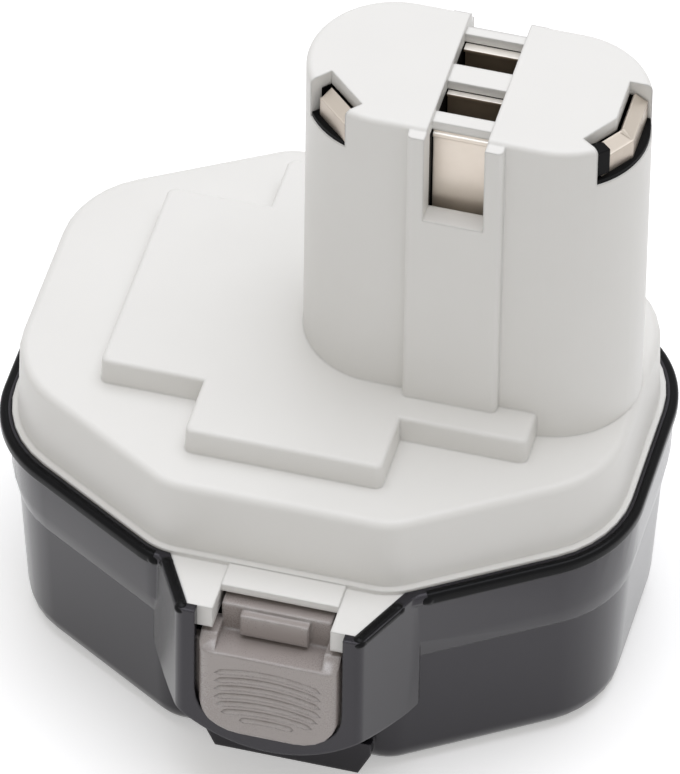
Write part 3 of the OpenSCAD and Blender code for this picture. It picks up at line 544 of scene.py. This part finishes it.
# mesh of an object with its modifiers applied
def finalMesh(obj):
    bpy.context.view_layer.update()
    final = obj.evaluated_get(bpy.context.evaluated_depsgraph_get())
    return bpy.data.meshes.new_from_object(final)


# base and latch housings as in the solids, in metres and degrees
plan = {
    "halfLength": 0.048205, "halfWidth": 0.0389, "flat": 0.0182,
    "slantLeft": 31.0, "slantRight": 33.5, "endRadius": 0.017, "bendRadius": 0.009,
    "latchX": 0.0022, "seam": 0.0412, "step": 0.0006, "cornerSteps": 16,
}
housing = {"front": 0.0513, "halfFront": 0.0145, "left": 0.55, "right": 0.46, "rim": 0.0018}


def housingSlope(side):
    return housing["left"] if side < 0 else housing["right"]


def housingSide(y, side):
    reach = (housing["front"] - y) * housingSlope(side)
    return plan["latchX"] + side * (housing["halfFront"] + reach)


# rear end of the channel: the ribs stop low and the groove between them is open
rearCut = {
    "ribs": ((0.0131, 0.01365, 0.1119), (0.0287, 0.02, 0.12)),
    "groove": ((0.0162, 0.0112, 0.1098), (0.0256, 0.02, 0.12)),
}


def cutAway(form, name, boxes):
    mesh = bpy.data.meshes.new(name + "Whole")
    form.to_mesh(mesh)
    whole = addObject(name + "Whole", mesh)
    tools = []
    for low, high in boxes:
        block = bmesh.new()
        bmesh.ops.create_cube(block, size=1)
        for v in block.verts:
            v.co = Vector([low[i] + (high[i] - low[i]) * (v.co[i] + 0.5) for i in range(3)])
        toolMesh = bpy.data.meshes.new(name + "Tool")
        block.to_mesh(toolMesh)
        block.free()
        tool = addObject(name + "Tool", toolMesh)
        cut = whole.modifiers.new("cut", "BOOLEAN")
        cut.operation = "DIFFERENCE"
        cut.solver = "EXACT"
        cut.object = tool
        tools.append(tool)
    left = finalMesh(whole)
    form.clear()
    form.from_mesh(left)
    bmesh.ops.remove_doubles(form, verts=form.verts, dist=mergeWithin)
    for spare in [whole, *tools]:
        bpy.data.objects.remove(spare)
    return form


# round the edges a test picks
def soften(form, test, width, steps):
    picked = [e for e in form.edges if len(e.link_faces) == 2 and test(e)]
    bmesh.ops.bevel(form, geom=picked, offset=width, offset_type="OFFSET", segments=steps,
                    profile=0.5, affect="EDGES", clamp_overlap=True)
    return form


caseSharpFrom = 32
housingCorner = {
    "near": 0.0004, "tall": 0.004, "lean": 0.0012, "depth": 0.0012,
    "round": 0.0011, "roundSteps": 4,
}


def isHousingCorner(edge):
    a, b = (v.co for v in edge.verts)
    upright = abs(a.z - b.z) > housingCorner["tall"] and abs(a.x - b.x) < housingCorner["lean"]
    mid = (a + b) / 2
    off = min(abs(mid.x - housingSide(housing["front"], side)) for side in (-1, 1))
    atFront = abs(mid.y) > housing["front"] - housingCorner["depth"]
    return upright and off < housingCorner["near"] and atFront


upperForm = cutAway(mergedCopy("upper_case"), "upperShell", rearCut.values())
addSkin(upperForm, "upperShell", upperPlastic, "case", "upper_shell", caseSharpFrom, "upper_case")
lowerForm = mergedCopy("lower_case")
soften(lowerForm, isHousingCorner, housingCorner["round"], housingCorner["roundSteps"])
addSkin(lowerForm, "lowerTub", lowerPlastic, "case", "lower_shell", caseSharpFrom, "lower_case")
print("case halves smoothed")


# tree of a node modifier: named inputs in, one mesh out
def newTree(name, inputs):
    tree = bpy.data.node_groups.new(name, "GeometryNodeTree")
    tree.interface.new_socket("Geometry", in_out="INPUT", socket_type="NodeSocketGeometry")
    tree.interface.new_socket("Geometry", in_out="OUTPUT", socket_type="NodeSocketGeometry")
    for label, kind in inputs.items():
        tree.interface.new_socket(label, in_out="INPUT", socket_type=kind)
    ins = addNode(tree, "NodeGroupInput", (-1200, 0))
    outs = addNode(tree, "NodeGroupOutput", (1200, 0))
    return tree, ins, outs


def endTree(tree, outs, source, paint):
    real = addNode(tree, "GeometryNodeRealizeInstances", (700, 0))
    soft = addNode(tree, "GeometryNodeSetShadeSmooth", (850, 0))
    coat = addNode(tree, "GeometryNodeSetMaterial", (1000, 0))
    coat.inputs["Material"].default_value = paint
    wire(tree, source, real.inputs[0])
    wire(tree, real.outputs[0], soft.inputs["Geometry"])
    wire(tree, soft.outputs[0], coat.inputs["Geometry"])
    wire(tree, coat.outputs[0], outs.inputs[0])


# run the tree on a base mesh and keep the result as a plain mesh
def growPiece(name, base, tree, values, body):
    maker = addObject(name + "Maker", base)
    modifier = maker.modifiers.new("nodes", "NODES")
    modifier.node_group = tree
    for item in tree.interface.items_tree:
        if item.in_out == "INPUT" and item.name in values:
            modifier[item.identifier] = values[item.name]
    mesh = finalMesh(maker)
    mesh.name = name
    bpy.data.objects.remove(maker)
    piece = addObject(name, mesh)
    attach(piece, body)


def roundCorner(before, corner, after, radius, steps):
    a = (before - corner).normalized()
    b = (after - corner).normalized()
    middle = corner + (a + b).normalized() * radius / math.sin(a.angle(b) / 2)
    reach = radius / math.tan(a.angle(b) / 2)
    start = corner + a * reach - middle
    turn = math.pi - a.angle(b)
    way = 1 if a.x * b.y - a.y * b.x < 0 else -1
    points = []
    for i in range(steps + 1):
        t = way * turn * i / steps
        c, s = math.cos(t), math.sin(t)
        points.append(middle + Vector((start.x * c - start.y * s, start.x * s + start.y * c)))
    return points


def fillStraight(first, second):
    count = max(1, round((second - first).length / plan["step"]))
    return [first.lerp(second, i / count) for i in range(count)]


# the base's outline, moved out and with its ends a little less far out
def basePlan(out, less):
    left, right = math.radians(plan["slantLeft"]), math.radians(plan["slantRight"])
    end = plan["halfLength"] + out - less
    front = plan["halfWidth"] + out
    flatLeft = plan["flat"] + out * math.tan(left / 2)
    flatRight = plan["flat"] + out * math.tan(right / 2)
    endLeft = front - (end - flatLeft) * math.tan(left)
    endRight = front - (end - flatRight) * math.tan(right)
    corners = [Vector(p) for p in (
        (end, -endRight), (end, endRight), (flatRight, front), (-flatLeft, front),
        (-end, endLeft), (-end, -endLeft), (-flatLeft, -front), (flatRight, -front),
    )]
    radii = [plan["endRadius"] + out] * 2 + [plan["bendRadius"] + out] * 2
    radii += radii
    points = []
    for i, corner in enumerate(corners):
        after = corners[(i + 1) % len(corners)]
        points += roundCorner(corners[i - 1], corner, after, radii[i], plan["cornerSteps"])
    filled = []
    for first, second in zip(points, points[1:] + points[:1]):
        filled += fillStraight(first, second)
    return filled


# black bead on the tub's rim and on the slanted sides of the latch housings
rimBead = {
    "width": 0.00190, "height": 0.00240, "fillet": 0.00075, "knob": 0.00125,
    "out": 0.0021, "less": 0.0002, "lift": 0.00003, "clear": 0.0004,
}
facetBead = {
    "width": 0.00200, "height": 0.0017, "fillet": 0.00075, "knob": 0.00115,
    "lift": 0.0002, "rows": (0.0418, 0.0445, 0.0475, 0.0502),
}
beadForm = {"filletSteps": 6, "knobDetail": 3, "knobScale": (1, 1, 0.82)}


def pathMesh(name, runs):
    mesh = bpy.data.meshes.new(name)
    points, edges = [], []
    for run in runs:
        first = len(points)
        points += run
        edges += [(first + i, first + i + 1) for i in range(len(run) - 1)]
    mesh.from_pydata(points, edges, [])
    return mesh


def rimRuns():
    z = plan["seam"] + rimBead["lift"] - rimBead["height"] / 2
    ring = basePlan(rimBead["out"], rimBead["less"])
    runs = []
    for side in (-1, 1):
        clear = rimBead["clear"]
        kept = [p for p in ring if (p.x - housingSide(abs(p.y), side)) * side > clear]
        kept.sort(key=lambda p: math.atan2(p.y, p.x * side))
        runs.append([(p.x, p.y, z) for p in kept])
    return runs


def facetRuns():
    z = plan["seam"] + facetBead["lift"] - facetBead["height"] / 2
    runs = []
    for end in (-1, 1):
        for side in (-1, 1):
            inset = side * housing["rim"] / 2 * math.hypot(1, housingSlope(side))
            runs.append([(housingSide(y, side) - inset, end * y, z) for y in facetBead["rows"]])
    return runs


def buildBead():
    tree, ins, outs = newTree("beadOnPath", {
        "Width": "NodeSocketFloat", "Height": "NodeSocketFloat", "Fillet": "NodeSocketFloat",
        "Knob": "NodeSocketFloat",
    })
    path = addNode(tree, "GeometryNodeMeshToCurve", (-900, 0))
    wire(tree, ins.outputs["Geometry"], path.inputs[0])
    upright = addNode(tree, "GeometryNodeSetCurveNormal", (-700, 0), mode="Z_UP")
    wire(tree, path.outputs[0], upright.inputs["Curve"])
    outline = addNode(tree, "GeometryNodeCurvePrimitiveQuadrilateral", (-900, -300))
    wire(tree, ins.outputs["Width"], outline.inputs["Width"])
    wire(tree, ins.outputs["Height"], outline.inputs["Height"])
    rounding = addNode(tree, "GeometryNodeFilletCurve", (-700, -300), mode="POLY")
    rounding.inputs["Count"].default_value = beadForm["filletSteps"]
    wire(tree, outline.outputs[0], rounding.inputs["Curve"])
    wire(tree, ins.outputs["Fillet"], rounding.inputs["Radius"])
    sweep = addNode(tree, "GeometryNodeCurveToMesh", (-300, 0))
    sweep.inputs["Fill Caps"].default_value = True
    wire(tree, upright.outputs[0], sweep.inputs["Curve"])
    wire(tree, rounding.outputs[0], sweep.inputs["Profile Curve"])
    # a small knob closes each end
    tips = addNode(tree, "GeometryNodeCurveEndpointSelection", (-700, -600))
    ball = addNode(tree, "GeometryNodeMeshIcoSphere", (-700, -800))
    ball.inputs["Subdivisions"].default_value = beadForm["knobDetail"]
    wire(tree, ins.outputs["Knob"], ball.inputs["Radius"])
    knobs = addNode(tree, "GeometryNodeInstanceOnPoints", (-300, -400))
    wire(tree, path.outputs[0], knobs.inputs["Points"])
    wire(tree, tips.outputs[0], knobs.inputs["Selection"])
    wire(tree, ball.outputs[0], knobs.inputs["Instance"])
    knobs.inputs["Scale"].default_value = beadForm["knobScale"]
    both = addNode(tree, "GeometryNodeJoinGeometry", (300, 0))
    wire(tree, knobs.outputs[0], both.inputs[0])
    wire(tree, sweep.outputs[0], both.inputs[0])
    endTree(tree, outs, both.outputs[0], rimPlastic)
    return tree


beadTree = buildBead()
for name, sizes, runs in (("rimBead", rimBead, rimRuns()), ("facetBead", facetBead, facetRuns())):
    values = {k.capitalize(): sizes[k] for k in ("width", "height", "fillet", "knob")}
    growPiece(name, pathMesh(name + "Path", runs), beadTree, values, "case")
print("rim beads run")


# release buttons: CAD copies with the ribs taken off, then soft ridges grown on the face
buttonFace = {
    "front": 0.0521, "proud": 5e-6, "depth": 0.006, "sharpFrom": 50,
    "round": 0.0005, "roundSteps": 3, "turnFrom": 30, "hookTop": 0.0338, "drop": 0.0005,
}
ridges = {
    "count": 7, "pitch": 0.00175, "bow": 0.026, "halfWidth": 0.0088, "width": 0.0012,
    "height": 0.0002, "middle": 0.02575, "low": 0.0201, "corner": 0.004,
    "arcSteps": 64, "sectionSteps": 14, "taper": (0.5, 0.42),
}


def plainButton(name, end):
    form = mergedCopy(name)
    proud = [v for v in form.verts if v.co.y * end > buttonFace["front"] + buttonFace["proud"]]
    bmesh.ops.delete(form, geom=proud, context="VERTS")
    bmesh.ops.holes_fill(form, edges=[e for e in form.edges if e.is_boundary], sides=0)
    bmesh.ops.recalc_face_normals(form, faces=form.faces)
    bmesh.ops.dissolve_limit(form, angle_limit=flatWithin, verts=form.verts, edges=form.edges)
    for v in form.verts:
        if v.co.z > buttonFace["hookTop"]:
            v.co.z -= buttonFace["drop"]
    outer = buttonFace["front"] - buttonFace["depth"]

    def isOuterEdge(edge):
        out = all(v.co.y * end > outer for v in edge.verts)
        return out and edge.calc_face_angle_signed(0) > math.radians(buttonFace["turnFrom"])

    return soften(form, isOuterEdge, buttonFace["round"], buttonFace["roundSteps"])


def buildRidges():
    tree, ins, outs = newTree("gripRidges", {
        "Count": "NodeSocketInt", "Pitch": "NodeSocketFloat", "Bow": "NodeSocketFloat",
        "Half Width": "NodeSocketFloat", "Width": "NodeSocketFloat", "Height": "NodeSocketFloat",
        "Low": "NodeSocketFloat", "Corner": "NodeSocketFloat", "Middle": "NodeSocketVector",
        "Turn": "NodeSocketFloat",
    })
    # arcs in the XY plane, crowns on the Y axis, stacked by the pitch
    half = mathNode(tree, "DIVIDE", (-1000, 400), ins.outputs["Half Width"], ins.outputs["Bow"])
    angle = mathNode(tree, "ARCSINE", (-850, 400), half)
    sweepAngle = mathNode(tree, "MULTIPLY", (-700, 400), angle, 2.0)
    start = mathNode(tree, "SUBTRACT", (-700, 550), math.pi / 2, angle)
    arc = addNode(tree, "GeometryNodeCurveArc", (-500, 400), mode="RADIUS")
    arc.inputs["Resolution"].default_value = ridges["arcSteps"]
    wire(tree, ins.outputs["Bow"], arc.inputs["Radius"])
    wire(tree, start, arc.inputs["Start Angle"])
    wire(tree, sweepAngle, arc.inputs["Sweep Angle"])
    last = mathNode(tree, "SUBTRACT", (-1000, 0), ins.outputs["Count"], 1.0)
    span = mathNode(tree, "MULTIPLY", (-850, 0), last, ins.outputs["Pitch"])
    first = mathNode(tree, "MULTIPLY", (-700, 0), span, -0.5)
    base = mathNode(tree, "SUBTRACT", (-550, 0), first, ins.outputs["Bow"])
    startAt = addNode(tree, "ShaderNodeCombineXYZ", (-400, 0))
    wire(tree, base, startAt.inputs["Y"])
    step = addNode(tree, "ShaderNodeCombineXYZ", (-400, -150))
    wire(tree, ins.outputs["Pitch"], step.inputs["Y"])
    row = addNode(tree, "GeometryNodeMeshLine", (-200, 0), mode="OFFSET")
    wire(tree, ins.outputs["Count"], row.inputs["Count"])
    wire(tree, startAt.outputs[0], row.inputs["Start Location"])
    wire(tree, step.outputs[0], row.inputs["Offset"])
    stack = addNode(tree, "GeometryNodeInstanceOnPoints", (0, 200))
    wire(tree, row.outputs[0], stack.inputs["Points"])
    wire(tree, arc.outputs[0], stack.inputs["Instance"])
    loose = addNode(tree, "GeometryNodeRealizeInstances", (150, 200))
    wire(tree, stack.outputs[0], loose.inputs[0])
    # the lower corners of the face are round, so the low ridges are shorter
    where = addNode(tree, "GeometryNodeInputPosition", (-400, -400))
    parts = addNode(tree, "ShaderNodeSeparateXYZ", (-250, -400))
    wire(tree, where.outputs[0], parts.inputs[0])
    side = mathNode(tree, "ABSOLUTE", (-100, -350), parts.outputs["X"])
    inner = mathNode(tree, "SUBTRACT", (-100, -500), ins.outputs["Half Width"], ins.outputs["Corner"])
    beside = mathNode(tree, "SUBTRACT", (50, -400), side, inner)
    dx = mathNode(tree, "MAXIMUM", (200, -400), beside, 0.0)
    level = mathNode(tree, "ADD", (-100, -650), ins.outputs["Low"], ins.outputs["Corner"])
    below = mathNode(tree, "SUBTRACT", (50, -600), level, parts.outputs["Y"])
    dy = mathNode(tree, "MAXIMUM", (200, -600), below, 0.0)
    dxSquared = mathNode(tree, "MULTIPLY", (300, -400), dx, dx)
    dySquared = mathNode(tree, "MULTIPLY", (300, -600), dy, dy)
    total = mathNode(tree, "ADD", (350, -500), dxSquared, dySquared)
    far = mathNode(tree, "SQRT", (500, -500), total)
    outside = mathNode(tree, "GREATER_THAN", (600, -500), far, ins.outputs["Corner"])
    trim = addNode(tree, "GeometryNodeDeleteGeometry", (300, 200), domain="POINT")
    wire(tree, loose.outputs[0], trim.inputs["Geometry"])
    wire(tree, outside, trim.inputs["Selection"])
    # low oval section, half sunk in the face and thinned to nothing at both ends
    along = addNode(tree, "GeometryNodeSplineParameter", (100, -900))
    centre = mathNode(tree, "SUBTRACT", (250, -900), along.outputs["Factor"], 0.5)
    edge = mathNode(tree, "ABSOLUTE", (400, -900), centre)
    thin = rampNode(tree, (550, -900), edge, ridges["taper"], interpolation_type="SMOOTHSTEP")
    section = addNode(tree, "GeometryNodeCurvePrimitiveCircle", (150, 700))
    section.inputs["Resolution"].default_value = ridges["sectionSteps"]
    section.inputs["Radius"].default_value = 1.0
    sizes = addNode(tree, "ShaderNodeCombineXYZ", (150, 900))
    halfWide = mathNode(tree, "MULTIPLY", (0, 900), ins.outputs["Width"], 0.5)
    wire(tree, halfWide, sizes.inputs["X"])
    wire(tree, ins.outputs["Height"], sizes.inputs["Y"])
    squash = addNode(tree, "GeometryNodeTransform", (300, 700))
    wire(tree, section.outputs[0], squash.inputs["Geometry"])
    wire(tree, sizes.outputs[0], squash.inputs["Scale"])
    upright = addNode(tree, "GeometryNodeSetCurveNormal", (550, 200), mode="Z_UP")
    wire(tree, trim.outputs[0], upright.inputs["Curve"])
    sweep = addNode(tree, "GeometryNodeCurveToMesh", (650, 300))
    wire(tree, upright.outputs[0], sweep.inputs["Curve"])
    wire(tree, squash.outputs[0], sweep.inputs["Profile Curve"])
    wire(tree, thin, sweep.inputs["Scale"])
    # close the thinned ends, then stand the stack up on the button's face
    closed = addNode(tree, "GeometryNodeMergeByDistance", (650, 150))
    closed.inputs["Distance"].default_value = mergeWithin
    wire(tree, sweep.outputs[0], closed.inputs["Geometry"])
    stand = addNode(tree, "GeometryNodeTransform", (650, 0))
    turn = addNode(tree, "ShaderNodeCombineXYZ", (500, -100))
    turn.inputs["X"].default_value = math.pi / 2
    wire(tree, ins.outputs["Turn"], turn.inputs["Z"])
    wire(tree, closed.outputs[0], stand.inputs["Geometry"])
    wire(tree, turn.outputs[0], stand.inputs["Rotation"])
    wire(tree, ins.outputs["Middle"], stand.inputs["Translation"])
    endTree(tree, outs, stand.outputs[0], buttonPlastic)
    return tree


ridgeTree = buildRidges()
for label, end in (("front", -1), ("rear", 1)):
    body = "button_" + label
    form = plainButton("latch_" + body, end)
    addSkin(form, label + "Button", buttonPlastic, body, "button_grey", buttonFace["sharpFrom"],
            "latch_" + body)
    values = {
        "Count": ridges["count"], "Pitch": ridges["pitch"], "Bow": ridges["bow"],
        "Half Width": ridges["halfWidth"], "Width": ridges["width"], "Height": ridges["height"],
        "Low": ridges["low"] - ridges["middle"], "Corner": ridges["corner"],
        "Middle": (plan["latchX"], end * buttonFace["front"], ridges["middle"]),
        "Turn": 0.0 if end < 0 else math.pi,
    }
    base = bpy.data.meshes.new(label + "RidgeBase")
    growPiece(label + "Ridges", base, ridgeTree, values, body)
print("buttons skinned and ridged")


# leaf springs, whose outer flat goes in with the button while the feet stay in the case: here
# smoothed copies of the CAD springs, fixed where they stand
leafSpring = {"foot": 0.0404, "crown": 0.0442, "height": 0.025, "sharpFrom": 30}
for label, end in (("front", -1), ("rear", 1)):
    node = "latch_spring_" + label
    leaf = addSkin(mergedCopy(node), label + "Leaf", springSteel, None, "spring_steel",
                   leafSpring["sharpFrom"], node)
    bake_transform(leaf)
print("springs set")


# black end of the carrier that stands in the right corner pocket
carrierTip = {
    "plan": ((0.0401, -0.0086), (0.0420, -0.0076), (0.0435, -0.0089), (0.0413, -0.0110)),
    "low": 0.1085, "high": 0.1134, "round": 0.0002, "roundSteps": 2, "sharpFrom": 40,
}


def tipForm():
    form = bmesh.new()
    ring = [form.verts.new((x, y, carrierTip["low"])) for x, y in carrierTip["plan"]]
    raised = bmesh.ops.extrude_face_region(form, geom=[form.faces.new(ring)])["geom"]
    for v in raised:
        if isinstance(v, bmesh.types.BMVert):
            v.co.z = carrierTip["high"]
    bmesh.ops.recalc_face_normals(form, faces=form.faces)
    return soften(form, lambda edge: True, carrierTip["round"], carrierTip["roundSteps"])


addSkin(tipForm(), "carrierTip", carrierPlastic, "case", "carrier_black", carrierTip["sharpFrom"])
print("carrier tip set")
